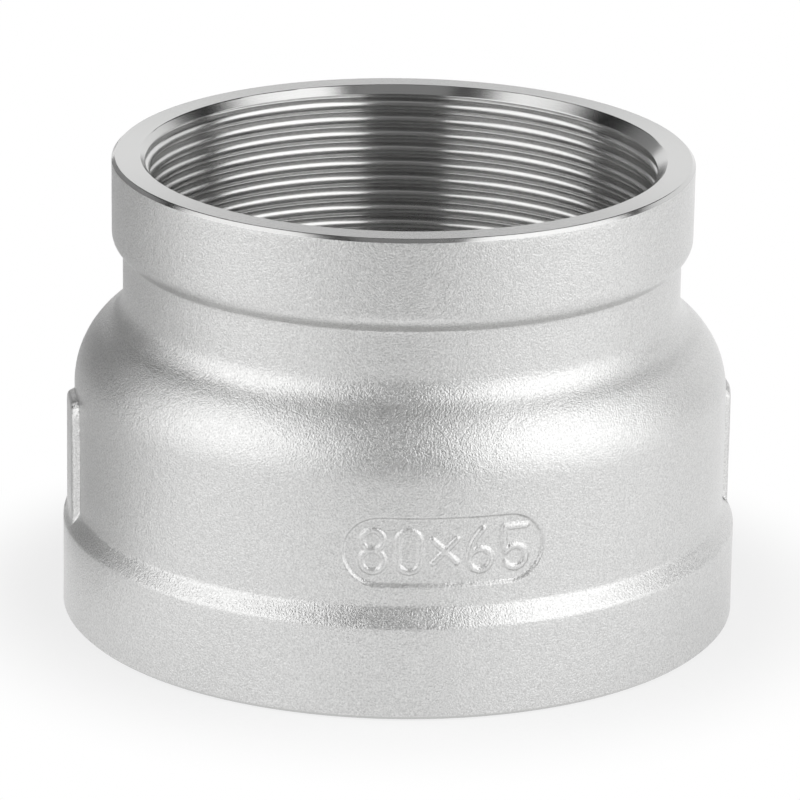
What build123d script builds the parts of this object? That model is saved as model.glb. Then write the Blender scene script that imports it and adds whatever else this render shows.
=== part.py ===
from build123d import *
from math import acos, ceil, degrees, radians, sin, tan
import os

# Stainless steel reducing socket, 3 inch below and 2 1/2 inch above, cast in one piece and
# threaded inside at both ends. It stands on its large end, with the origin in the middle of
# that end face and +Z up through the bore. The ribs lie along X and the size mark faces -Y.
# Every length is in millimetres and every angle in degrees.

# Parallel right-hand pipe threads, 11 turns to the inch. Each diameter is the thread's root
# diameter. The grooves have flat roots and 55 degree flanks, and the tapping bore leaves the
# crests a little short of the full depth. On the +X side a crest lies first_crest inside
# either mouth.
thread_pitch = 25.4 / 11
thread_depth = 0.640327 * thread_pitch
thread_angle = 55
root_flat = thread_pitch / 6
crest_cut = 0.15
first_crest = 3.44
large_thread_diameter = 87.884
large_thread_length = 29.8
small_thread_length = 26.9
mouth_margin = 0.2
end_chamfer = 0.5

# The small end is one pipe size down, which is half an inch on the thread's diameter
thread_step = 25.4 / 2

# Walls outside the thread roots
band_wall = 4.95
body_wall = 3.25
neck_wall = 2.6
collar_wall = 4.2

# Wall round the hollow between the threads, which is wider than the grooves that run out in it
hollow_wall = 3.0

# Heights and rounding of the outer form, from the standing face upwards
band_height = 12.4
bevel_height = 3.6
bevel_edge_radius = 2.4
bevel_foot_radius = 2.0
body_run = 3.7
shoulder_radius = 12.0
neck_hollow_radius = 5.0
neck_length = 6.55
collar_height = 12.1
collar_root_radius = 0.8
collar_edge_radius = 2.4
hollow_corner_radius = 1.0

# Wrench ribs, one on each side of the body
rib_projection = 1.0
rib_root_depth = 1.6
rib_width = 9.6
rib_length = 20.8
rib_corner_radius = 2.6
rib_edge_radius = 0.45
rib_draft = 12.0

# Size mark: a sunk field with round ends that holds raised numerals
mark_height = 24.1
field_length = 28.1
field_width = 10.0
field_depth = 0.45
field_approach = 2.0
numeral_relief = 0.3
numeral_height = 6.8
numeral_width = 3.9
numeral_pitch = 5.0
cross_size = 3.4
stroke_width = 0.75

# Radii and heights that follow from the sizes above. The bores are drawn at the crests.
large_root_radius = large_thread_diameter / 2
small_root_radius = (large_thread_diameter - thread_step) / 2
ridge_depth = thread_depth - crest_cut
large_bore_radius = large_root_radius - ridge_depth
small_bore_radius = small_root_radius - ridge_depth
mouth_depth = ridge_depth + mouth_margin
band_radius = large_root_radius + band_wall
body_radius = large_root_radius + body_wall
hollow_radius = body_radius - hollow_wall
neck_radius = small_root_radius + neck_wall
collar_radius = small_root_radius + collar_wall
shoulder_base_height = large_thread_length + body_run

# The shoulder arc and the hollow arc under the neck share one tangent where they meet,
# which sets how far the shoulder turns and where the straight neck begins.
shoulder_centre_radius = body_radius - shoulder_radius
hollow_centre_radius = neck_radius + neck_hollow_radius
arc_reach = shoulder_radius + neck_hollow_radius
shoulder_turn = degrees(acos((hollow_centre_radius - shoulder_centre_radius) / arc_reach))
neck_base_height = shoulder_base_height + arc_reach * sin(radians(shoulder_turn))
neck_top_height = neck_base_height + neck_length
collar_base_height = neck_top_height + collar_radius - neck_radius
total_height = collar_base_height + collar_height
small_thread_end = total_height - small_thread_length

# Every turn of a groove is one cutter. The lowest turn starts on the +X side, half a pitch from
# a crest, and the turns run on past both ends of the thread.
cutter_overshoot = 0.3
large_turns = ceil(large_thread_length / thread_pitch) + 1
small_turns = ceil(small_thread_length / thread_pitch) + 1
large_groove_base = first_crest - 1.5 * thread_pitch
small_groove_base = total_height - first_crest - (small_turns - 1.5) * thread_pitch


def draw_groove_turn(root_radius):
    """One turn of a thread groove, climbing a pitch, from its root to just inside the bore."""
    cutter_depth = ridge_depth + cutter_overshoot
    mouth_half = root_flat / 2 + cutter_depth * tan(radians(thread_angle / 2))
    with BuildPart() as groove_turn:
        with BuildLine() as climb:
            Helix(pitch=thread_pitch, height=thread_pitch, radius=root_radius)
        with BuildSketch(Plane.XZ):
            with BuildLine():
                Polyline(
                    (root_radius, -root_flat / 2),
                    (root_radius, root_flat / 2),
                    (root_radius - cutter_depth, mouth_half),
                    (root_radius - cutter_depth, -mouth_half),
                    close=True,
                )
            make_face()
        sweep(path=climb.line, is_frenet=True)
    return groove_turn.part


large_groove_turn = draw_groove_turn(large_root_radius)
small_groove_turn = draw_groove_turn(small_root_radius)

# Wrench rib: a bar with drafted sides and round upper corners, its foot lost in the band
with BuildPart() as rib:
    with BuildSketch(Plane.YZ.offset(body_radius - rib_root_depth)) as rib_outline:
        with Locations((0, band_height + rib_length / 2)):
            Rectangle(rib_width, rib_length)
        fillet(rib_outline.vertices().group_by(Axis.Y)[-1], radius=rib_corner_radius)
    extrude(amount=rib_root_depth + rib_projection, taper=rib_draft)
    rib_face_edges = rib.faces().sort_by(Axis.X)[-1].edges()
    fillet(rib_face_edges.sort_by(Axis.Z)[1:], radius=rib_edge_radius)

# Sunk field of the size mark: everything inside its outline that lies above the round floor
mark_plane = Plane(
    origin=(0, -body_radius - field_approach, mark_height),
    x_dir=(1, 0, 0),
    z_dir=(0, -1, 0),
)
with BuildPart() as mark_field:
    with BuildSketch(mark_plane):
        SlotOverall(field_length, field_width)
    extrude(amount=-body_radius / 2)
    Cylinder(body_radius - field_depth, 2 * total_height, mode=Mode.SUBTRACT)

# Centre lines of the numerals, each drawn about its own place along the field
line_height = numeral_height - stroke_width
line_width = numeral_width - stroke_width
bowl_radius = line_width / 2
bowl_height = bowl_radius - line_height / 2
crown_radius = line_height / 2 - bowl_radius
crown_height = line_height / 2 - crown_radius


def draw_ring(x, height, radius):
    """A closed ring, drawn as its two halves."""
    CenterArc((x, height), radius, 0, 180)
    CenterArc((x, height), radius, 180, 180)


def draw_eight(x):
    """A bowl below and a slightly smaller ring above it."""
    draw_ring(x, bowl_height, bowl_radius)
    draw_ring(x, crown_height, crown_radius)


def draw_zero(x):
    """Two half rings joined by straight sides."""
    CenterArc((x, bowl_height), bowl_radius, 180, 180)
    CenterArc((x, -bowl_height), bowl_radius, 0, 180)
    Line((x - bowl_radius, bowl_height), (x - bowl_radius, -bowl_height))
    Line((x + bowl_radius, bowl_height), (x + bowl_radius, -bowl_height))


def draw_cross(x):
    """The times sign between the two numbers."""
    arm = cross_size / 2
    Line((x - arm, -arm), (x + arm, arm))
    Line((x - arm, arm), (x + arm, -arm))


def draw_six(x):
    """A closed bowl, with its left side carried up into a long back."""
    draw_ring(x, bowl_height, bowl_radius)
    CenterArc((x + line_height - bowl_radius, bowl_height), line_height, 180, -48)


def draw_five(x):
    """A flag, a short stem and an open bowl."""
    Polyline((x + bowl_radius, line_height / 2), (x - bowl_radius, line_height / 2), (x - bowl_radius, 0))
    CenterArc((x, bowl_height), bowl_radius, 150, -300)


numeral_order = (draw_eight, draw_zero, draw_cross, draw_six, draw_five)
with BuildPart() as numerals:
    with BuildSketch(mark_plane):
        for place, draw_numeral in enumerate(numeral_order):
            with BuildLine(mode=Mode.PRIVATE) as centre_lines:
                draw_numeral((place - len(numeral_order) // 2) * numeral_pitch)
            for centre_line in centre_lines.edges():
                SlotArc(centre_line, stroke_width)
    extrude(amount=-body_radius / 2)
    Cylinder(body_radius - field_depth + numeral_relief, 2 * total_height, mode=Mode.INTERSECT)
    Cylinder(body_radius - 2 * field_depth, 2 * total_height, mode=Mode.SUBTRACT)

# The casting: its half section turned about Z, with the threads cut, the ribs joined on and
# the mark sunk in
with BuildPart() as reducer_body:
    with BuildSketch(Plane.XZ) as half_section:
        with BuildLine():
            FilletPolyline(
                (band_radius, end_chamfer),
                (band_radius, band_height),
                (body_radius, band_height + bevel_height),
                (body_radius, shoulder_base_height),
                radius=[bevel_edge_radius, bevel_foot_radius],
            )
            CenterArc((shoulder_centre_radius, shoulder_base_height), shoulder_radius, 0, shoulder_turn)
            CenterArc((hollow_centre_radius, neck_base_height), neck_hollow_radius, 180, shoulder_turn)
            FilletPolyline(
                (neck_radius, neck_base_height),
                (neck_radius, neck_top_height),
                (collar_radius, collar_base_height),
                (collar_radius, total_height - end_chamfer),
                radius=[collar_root_radius, collar_edge_radius],
            )
            hollow_arc = CenterArc(
                (shoulder_centre_radius, shoulder_base_height),
                shoulder_radius - hollow_wall,
                0,
                shoulder_turn,
            )
            Polyline(
                (collar_radius, total_height - end_chamfer),
                (collar_radius - end_chamfer, total_height),
                (small_root_radius + mouth_margin, total_height),
                (small_bore_radius, total_height - mouth_depth),
                (small_bore_radius, small_thread_end),
                hollow_arc @ 1,
            )
            Polyline(
                hollow_arc @ 0,
                (hollow_radius, large_thread_length + hollow_radius - large_bore_radius),
                (large_bore_radius, large_thread_length),
                (large_bore_radius, mouth_depth),
                (large_root_radius + mouth_margin, 0),
                (band_radius - end_chamfer, 0),
                (band_radius, end_chamfer),
            )
        make_face()
        fillet(half_section.vertices().sort_by_distance(hollow_arc @ 1)[0], radius=hollow_corner_radius)
    revolve(axis=Axis.Z)
    with Locations(*[(0, 0, large_groove_base + turn * thread_pitch) for turn in range(large_turns)]):
        add(large_groove_turn, mode=Mode.SUBTRACT)
    with Locations(*[(0, 0, small_groove_base + turn * thread_pitch) for turn in range(small_turns)]):
        add(small_groove_turn, mode=Mode.SUBTRACT)
    with PolarLocations(0, 2):
        add(rib.part)
    add(mark_field.part, mode=Mode.SUBTRACT)
    add(numerals.part)

reducer_body.part.label = "reducer_body"
os.makedirs("parts", exist_ok=True)
export_step(reducer_body.part, "parts/reducer_body.step")
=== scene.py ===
"""Stainless steel reducing socket: a blasted casting with turned ends and two cut pipe threads.

The fitting stands on its large end at the origin, +Z up, in metres. Its sizes are held below in
millimetres and turned into metres where a mesh is written. One surface replaces the solid and keeps
its form. It adds what the solid leaves out: worn round crests and round roots on the threads,
rounder rib edges, soft waves in the cast skin, and three finishes.
"""

import logging
import math
from dataclasses import dataclass, field
from enum import Enum

import bpy
import numpy as np
from mathutils import Matrix, Vector

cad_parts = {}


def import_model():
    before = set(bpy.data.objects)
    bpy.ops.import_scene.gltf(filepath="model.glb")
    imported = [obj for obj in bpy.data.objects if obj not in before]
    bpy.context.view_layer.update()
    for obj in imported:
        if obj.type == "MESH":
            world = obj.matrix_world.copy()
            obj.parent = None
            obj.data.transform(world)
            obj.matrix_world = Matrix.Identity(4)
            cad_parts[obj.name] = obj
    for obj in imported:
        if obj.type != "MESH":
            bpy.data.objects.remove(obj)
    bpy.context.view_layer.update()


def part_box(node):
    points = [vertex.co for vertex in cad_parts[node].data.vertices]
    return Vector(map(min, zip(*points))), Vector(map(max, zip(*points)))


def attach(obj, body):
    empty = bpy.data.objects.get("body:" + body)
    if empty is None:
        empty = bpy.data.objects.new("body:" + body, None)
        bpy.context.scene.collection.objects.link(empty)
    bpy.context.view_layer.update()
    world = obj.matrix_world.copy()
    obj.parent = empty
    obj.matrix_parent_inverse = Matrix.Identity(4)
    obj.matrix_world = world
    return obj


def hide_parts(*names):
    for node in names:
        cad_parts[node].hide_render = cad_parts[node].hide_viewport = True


log = logging.getLogger("reducer")

MM = 0.001
FULL_TURN = 2 * math.pi

# Largest turn between two points of an arc, in degrees
ARC_STEP = 5.0


class Finish(Enum):
    """The surfaces that the fitting shows, in the order of its material slots."""

    CAST = 0
    TURNED = 1
    THREAD = 2


class Face(Enum):
    """Which way an end of the fitting points along the bore."""

    UP = 1
    DOWN = -1


# Shapes in the half section


def arc_points(centre: tuple[float, float], radius: float, start: float, sweep: float) -> np.ndarray:
    """Points along an arc of the half section, no more than ARC_STEP of turn apart.

    Each point is the centre plus the radius times the cosine and sine of its angle.

    Args:
        centre: Radius from the bore's axis and height of the arc's centre.
        radius: Radius of the arc.
        start: Angle of its first point in degrees, where 0 points away from the axis.
        sweep: Turn to its last point in degrees, positive anticlockwise.

    Returns:
        An array of (radius from the axis, height) rows.
    """
    steps = max(2, math.ceil(abs(sweep) / ARC_STEP))
    angle = np.radians(start + sweep * np.linspace(0, 1, steps + 1))
    return np.stack([centre[0] + radius * np.cos(angle), centre[1] + radius * np.sin(angle)], 1)


def rounded(corners: list[tuple[float, float]], radii: list[float]) -> np.ndarray:
    """A run of straight lines in the half section with every inner corner rounded.

    A corner of turn t and radius r starts to bend r * tan(t / 2) before the corner. Its arc is
    centred r from that tangent point, square to the line.

    Args:
        corners: The corners from first to last.
        radii: One radius for each corner between the first and the last.

    Returns:
        An array of (radius from the axis, height) rows.
    """
    pieces = [np.array([corners[0]], float)]
    for before, corner, after, radius in zip(corners, corners[1:], corners[2:], radii):
        entry = np.subtract(corner, before) / math.dist(corner, before)
        leave = np.subtract(after, corner) / math.dist(after, corner)
        turn = math.atan2(entry[0] * leave[1] - entry[1] * leave[0], float(entry @ leave))
        side = math.copysign(1, turn)
        tangent = np.array(corner) - entry * radius * math.tan(abs(turn) / 2)
        centre = tangent + side * radius * np.array([-entry[1], entry[0]])
        start = math.degrees(math.atan2(*(tangent - centre)[::-1]))
        pieces.append(arc_points(tuple(centre), radius, start, math.degrees(turn)))
    pieces.append(np.array([corners[-1]], float))
    return np.concatenate(pieces)


def nearest(places: np.ndarray, wanted: float) -> int:
    """The index of the place nearest to the wanted one."""
    return int(np.argmin(np.abs(places - wanted)))


def graded(
    ends: tuple[float, float], spacing: tuple[float, float], centres: list[float], steps: int = 4000
) -> np.ndarray:
    """Places between two ends, close together near some centres and further apart elsewhere.

    With (coarse, fine) the spacing, the number of places per length is 1 / fine within coarse of
    a centre and 1 / coarse elsewhere. The places are where the running total of that density
    passes whole numbers.

    Args:
        ends: First and last place.
        spacing: Spacing away from the centres and near them.
        centres: What the fine spacing lies around.
        steps: Steps in which the density is added up.

    Returns:
        The places in rising order, both ends included.
    """
    coarse, fine = spacing
    line = np.linspace(*ends, steps + 1)
    near = np.min(np.abs(line[:, None] - np.array(centres)[None, :]), axis=1) < coarse
    density = np.where(near, 1 / fine, 1 / coarse)
    total = np.concatenate([[0], np.cumsum((density[1:] + density[:-1]) / 2 * np.diff(line))])
    count = max(2, round(total[-1]))
    return np.interp(np.linspace(0, total[-1], count + 1), total, line)


def smooth_step(value: np.ndarray, low: float, high: float) -> np.ndarray:
    """0 below low, 1 above high and 3 t^2 - 2 t^3 between them, where t is the share of the way."""
    share = np.clip((value - low) / (high - low), 0, 1)
    return share * share * (3 - 2 * share)


def smooth_high(first: np.ndarray, second: np.ndarray, width: float) -> np.ndarray:
    """The higher of two surfaces, with a fillet where they are within width of each other.

    It is the larger value plus (1 - gap / width)^2 * width / 4, where gap is their difference.
    """
    gap = np.clip(1 - np.abs(first - second) / width, 0, 1)
    return np.maximum(first, second) + gap * gap * width / 4


# The surface


# The numbers of a line of points, and the place of each along it, from 0 to 1
Side = tuple[np.ndarray, np.ndarray]

# Angles, heights, and the radius at each pair of them
Patch = tuple[np.ndarray, np.ndarray, np.ndarray]


@dataclass
class SkinGrid:
    """A grid of points on the outer skin, already in the surface.

    Attributes:
        numbers: The points' numbers, [column, row].
        angle: Angle of each column.
        level: Height of each row.
    """

    numbers: np.ndarray
    angle: np.ndarray
    level: np.ndarray

    def sides(self) -> list[Side]:
        """Its bottom row, last column, top row and first column."""
        around = (self.angle - self.angle[0]) / (self.angle[-1] - self.angle[0])
        up = (self.level - self.level[0]) / (self.level[-1] - self.level[0])
        near = [(self.numbers[:, 0], around), (self.numbers[-1], up)]
        return near + [(self.numbers[:, -1], around), (self.numbers[0], up)]


@dataclass
class Surface:
    """Grids of points that are put together into one mesh.

    Attributes:
        weld: Points nearer to each other than this, in metres, become one.
    """

    weld: float = 2e-8
    points: list[np.ndarray] = field(default_factory=list)
    quads: list[np.ndarray] = field(default_factory=list)
    finishes: list[np.ndarray] = field(default_factory=list)
    count: int = 0

    def add(self, points: np.ndarray, quads: np.ndarray, finish: Finish | np.ndarray) -> np.ndarray:
        """Adds points in millimetres and faces that index them, and returns the points' numbers.

        Args:
            points: An array whose last axis is x, y, z.
            quads: Four point numbers a face. A triangle repeats its last one.
            finish: The finish of these faces, or its number for each face.

        Returns:
            The numbers of the points in the whole surface, in the shape of the input grid.
        """
        flat = points.reshape(-1, 3) * MM
        self.points.append(flat)
        self.quads.append(quads + self.count)
        one = isinstance(finish, Finish)
        self.finishes.append(np.full(len(quads), finish.value) if one else finish)
        numbers = self.count + np.arange(len(flat)).reshape(points.shape[:-1])
        self.count += len(flat)
        return numbers

    def add_grid(
        self, points: np.ndarray, finish: Finish | np.ndarray, hole: np.ndarray | None = None
    ) -> np.ndarray:
        """Adds a grid of points, [column, row, xyz], with a quad in each cell.

        Columns run anticlockwise seen from above and rows run so that the outside lies on the
        right of a column walked from row to row, which makes every face point outwards.

        Args:
            points: The grid.
            finish: The finish of its faces, or its number for each cell.
            hole: True for each cell that stays open, or None.

        Returns:
            The numbers of the grid's points.
        """
        columns, rows = points.shape[:2]
        number = np.arange(columns * rows).reshape(columns, rows)
        cells = np.stack([number[:-1, :-1], number[1:, :-1], number[1:, 1:], number[:-1, 1:]], -1)
        shown = np.ones(cells.shape[:2], bool) if hole is None else ~hole
        return self.add(points, cells[shown], finish if isinstance(finish, Finish) else finish[shown])

    def add_strip(self, near: Side, far: Side, finish: Finish) -> None:
        """Joins two lines of points, already in the surface, with a strip of triangles.

        Both lines run the same way. Their points are taken in order of place, and each new point
        makes a triangle with the last point of either line.

        Args:
            near: The line on the right, walking along the strip.
            far: The line on the left.
            finish: The finish of the triangles.
        """
        (near_points, near_at), (far_points, far_at) = near, far
        places = np.concatenate([near_at[1:], far_at[1:]])
        is_near = np.arange(len(places)) < len(near_at) - 1
        order = np.lexsort((is_near, places))
        steps = is_near[order]
        near_step, far_step = np.cumsum(steps), np.cumsum(~steps)
        near_last, far_last = near_points[near_step - steps], far_points[far_step - ~steps]
        tip = np.where(steps, near_points[near_step], far_points[far_step])
        faces = np.stack([near_last, tip, far_last, far_last], 1)
        self.quads.append(faces)
        self.finishes.append(np.full(len(faces), finish.value))

    def make(self, name: str, materials: list[bpy.types.Material]) -> bpy.types.Object:
        """Welds the points, drops the faces that the weld closes and writes the mesh.

        Args:
            name: The object's name.
            materials: One material for each finish, in order.

        Returns:
            The finished object, linked to the scene.
        """
        points = np.concatenate(self.points)
        quads = np.concatenate(self.quads)
        finishes = np.concatenate(self.finishes)
        keys = np.round(points / self.weld).astype(np.int64)
        _, first, same = np.unique(keys, axis=0, return_index=True, return_inverse=True)
        quads = same.reshape(-1)[quads]
        points = points[first]
        used = quads != np.roll(quads, -1, axis=1)
        corners = used.sum(1)
        solid = corners >= 3
        quads, used, corners, finishes = quads[solid], used[solid], corners[solid], finishes[solid]

        mesh = bpy.data.meshes.new(name)
        mesh.vertices.add(len(points))
        mesh.vertices.foreach_set("co", points.astype(np.float32).ravel())
        mesh.loops.add(int(corners.sum()))
        mesh.loops.foreach_set("vertex_index", quads[used].astype(np.int32))
        mesh.polygons.add(len(corners))
        starts = np.concatenate([[0], np.cumsum(corners)[:-1]])
        mesh.polygons.foreach_set("loop_start", starts.astype(np.int32))
        mesh.polygons.foreach_set("material_index", finishes.astype(np.int32))
        mesh.update(calc_edges=True)
        mesh.validate()
        mesh.shade_smooth()
        for material in materials:
            mesh.materials.append(material)
        piece = bpy.data.objects.new(name, mesh)
        bpy.context.scene.collection.objects.link(piece)
        triangles = int((corners - 2).sum())
        log.info("%s: %d points, %d triangles", name, len(points), triangles)
        return piece


# Threads


@dataclass(frozen=True)
class PipeThread:
    """A parallel right-hand pipe thread cut inside one end of the fitting.

    Attributes:
        root_diameter: Diameter at the bottom of the grooves.
        mouth: Height of the end face that it is cut from.
        face: Which way that end face points.
        end: Height where the thread runs out inside.
        crest_at: Height of one crest at angle 0.
        crest_rows: Rows of points across each round ridge top.
        root_rows: Rows of points in each round groove bottom.
        opens_to: Radius that the wall opens to past the end, or 0 where it stops at the end.
        crest_cut: How far the ridges stand short of the full depth.
        crest_rounding: Radius of the worn ridge tops.
        mouth_margin: How much wider than the grooves the countersink is at the end face.
        mouth_rows: Rows near the mouth for each row elsewhere.
        snap: Rows nearer to either end of a grid than this lie on it.
    """

    root_diameter: float
    mouth: float
    face: Face
    end: float
    crest_at: float
    crest_rows: int
    root_rows: int
    opens_to: float = 0.0
    pitch: float = 25.4 / 11
    depth_per_pitch: float = 0.640327
    rounding_per_pitch: float = 0.137329
    crest_cut: float = 0.15
    crest_rounding: float = 0.8
    mouth_margin: float = 0.2
    mouth_rows: int = 4
    snap: float = 0.03

    @property
    def root_radius(self) -> float:
        """Radius at the bottom of the grooves."""
        return self.root_diameter / 2

    @property
    def crest_radius(self) -> float:
        """Radius at the tops of the ridges, which the tapping bore leaves short of full depth."""
        return self.root_radius - self.depth_per_pitch * self.pitch + self.crest_cut

    @property
    def root_rounding(self) -> float:
        """Radius of the round groove bottoms."""
        return self.rounding_per_pitch * self.pitch

    @property
    def flank_tilt(self) -> float:
        """Angle between a flank and the bore's direction, in radians.

        With S the sum of both roundings, D the depth and H half the pitch, a flank that touches
        both arcs has (S - D) * cos(tilt) + H * sin(tilt) = S.
        """
        total = self.crest_rounding + self.root_rounding
        depth, half = self.root_radius - self.crest_radius, self.pitch / 2
        span = math.hypot(total - depth, half)
        return math.atan2(half, total - depth) - math.acos(total / span)

    @property
    def mouth_radius(self) -> float:
        """Radius of the countersink at the end face, just wider than the grooves."""
        return self.root_radius + self.mouth_margin

    def crest_height(self, angle: np.ndarray) -> np.ndarray:
        """Height of the crest that starts at crest_at, one pitch higher after each whole turn."""
        return self.crest_at + self.pitch * angle / FULL_TURN

    def form(self, from_crest: np.ndarray) -> np.ndarray:
        """Radius of the cut wall at a distance from a crest, measured along the bore.

        The flanks are straight. The worn crest and the root are arcs that touch them: radius r,
        reaching r * sin(tilt) to each side.

        Args:
            from_crest: Distance along the bore from any crest.

        Returns:
            The radius from the bore's axis.
        """
        away = np.abs(from_crest / self.pitch - np.round(from_crest / self.pitch)) * self.pitch
        to_root = self.pitch / 2 - away
        tilt, top, bottom = self.flank_tilt, self.crest_rounding, self.root_rounding
        top_reach, bottom_reach = top * math.sin(tilt), bottom * math.sin(tilt)
        crest = self.crest_radius + top - np.sqrt(np.maximum(top**2 - away**2, 0))
        root = self.root_radius - bottom + np.sqrt(np.maximum(bottom**2 - to_root**2, 0))
        flank = self.crest_radius + top * (1 - math.cos(tilt)) + (away - top_reach) * math.tan(tilt)
        return np.where(away < top_reach, crest, np.where(to_root < bottom_reach, root, flank))

    def turn_shares(self) -> np.ndarray:
        """Shares of a pitch at which a turn has its rows, at even turns across crest and root."""
        crest = self.crest_rounding * np.sin(self.flank_tilt * np.linspace(-1, 1, self.crest_rows))
        root = self.root_rounding * np.sin(self.flank_tilt * np.linspace(-1, 1, self.root_rows))
        return np.sort(np.concatenate([crest, self.pitch / 2 + root]) / self.pitch % 1.0)

    def countersink(self, height: np.ndarray) -> np.ndarray:
        """Radius of the mouth's cone, a millimetre less for each millimetre into the bore."""
        return self.mouth_radius - (self.mouth - height) * self.face.value

    def wall(self, angle: np.ndarray, height: np.ndarray) -> np.ndarray:
        """Radius of the finished bore at an angle and height.

        It is the largest of three: the cut thread, the countersink, and past the thread's end a
        45 degree cone that opens to the hollow.
        """
        thread = self.form(height - self.crest_height(angle))
        past = (self.end - height) * self.face.value
        cone = np.minimum(self.crest_radius + past, self.opens_to)
        return np.maximum(np.maximum(thread, self.countersink(height)), cone)

    def finishes(self, angle: np.ndarray, grid: np.ndarray) -> np.ndarray:
        """The finish of each cell of a grid: turned in the countersink, else thread."""
        middle = (grid[:-1, :-1, 2] + grid[1:, 1:, 2]) / 2
        between = (angle[:-1] + angle[1:])[:, None] / 2
        turned = self.countersink(middle) > self.form(middle - self.crest_height(between))
        return np.where(turned, Finish.TURNED.value, Finish.THREAD.value)

    def grid(self, angle: np.ndarray, low: float, high: float) -> np.ndarray:
        """The bore between two heights, as [column, row, xyz] with rows that follow the helix.

        Each row keeps its place in the thread form all the way round, so it climbs one pitch a
        turn and ends on the row one turn further up. Rows are closer near the mouth, where the
        countersink cuts across them, and all are held between the two heights. From one to two
        pitches inside the mouth, one side of the seam has close rows and the other wide ones, so
        the seam is open there, by less than 0.1 mm.

        Args:
            angle: Angle of each column.
            low: Lowest height.
            high: Highest height.

        Returns:
            The grid, in millimetres, with rows from low to high.
        """
        shares = self.turn_shares()
        first = math.floor((low - self.crest_height(angle).max()) / self.pitch) - 1
        last = math.ceil((high - self.crest_height(angle).min()) / self.pitch) + 1
        turns = (np.arange(first, last)[:, None] + shares[None, :]).ravel()
        at_mouth = (self.mouth - self.crest_height(angle)) / self.pitch
        number = np.arange(len(turns))
        near = number[(turns > at_mouth.min() - 1) & (turns < at_mouth.max() + 1)]
        between = np.arange(1, self.mouth_rows) / self.mouth_rows
        wanted = np.sort(np.concatenate([number, np.add.outer(near, between).ravel()]))
        turns = np.interp(wanted, number, turns)
        height = self.crest_height(angle)[:, None] + self.pitch * turns[None, :]
        height = np.where(height < low + self.snap, low, height)
        height = np.where(height > high - self.snap, high, height)
        return polar_grid(angle[:, None], self.wall(angle[:, None], height), height)


def polar_grid(angle: np.ndarray, radius: np.ndarray, height: np.ndarray) -> np.ndarray:
    """Points at an angle, a radius and a height: x = r cos a, y = r sin a, z = h."""
    angle, radius, height = np.broadcast_arrays(angle, radius, height)
    return np.stack([radius * np.cos(angle), radius * np.sin(angle), height], -1)


# The size mark


@dataclass(frozen=True)
class Line:
    """A straight stroke from one place to another in the mark's plane."""

    start: tuple[float, float]
    end: tuple[float, float]

    def distance(self, x: np.ndarray, y: np.ndarray) -> np.ndarray:
        """Distance to the stroke: to the nearest point of the line, held between its ends."""
        run = np.subtract(self.end, self.start)
        share = ((x - self.start[0]) * run[0] + (y - self.start[1]) * run[1]) / float(run @ run)
        share = np.clip(share, 0, 1)
        return np.hypot(x - self.start[0] - share * run[0], y - self.start[1] - share * run[1])


@dataclass(frozen=True)
class Bow:
    """A round stroke about a centre, from a start angle in degrees through a sweep."""

    centre: tuple[float, float]
    radius: float
    start: float = 0.0
    sweep: float = 360.0

    def distance(self, x: np.ndarray, y: np.ndarray) -> np.ndarray:
        """Distance to the arc: radial within its sweep, and to its nearer end outside it."""
        across, up = x - self.centre[0], y - self.centre[1]
        middle = math.radians(self.start + self.sweep / 2)
        half = math.radians(abs(self.sweep)) / 2
        turn = np.abs(np.angle(np.exp(1j * (np.arctan2(up, across) - middle))))
        excess = np.maximum(turn - half, 0)
        out = np.hypot(across, up)
        radial = np.abs(out - self.radius)
        chord = np.sqrt(np.maximum(out**2 + self.radius**2 - 2 * out * self.radius * np.cos(excess), 0))
        return np.where(excess > 0, chord, radial)


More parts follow.
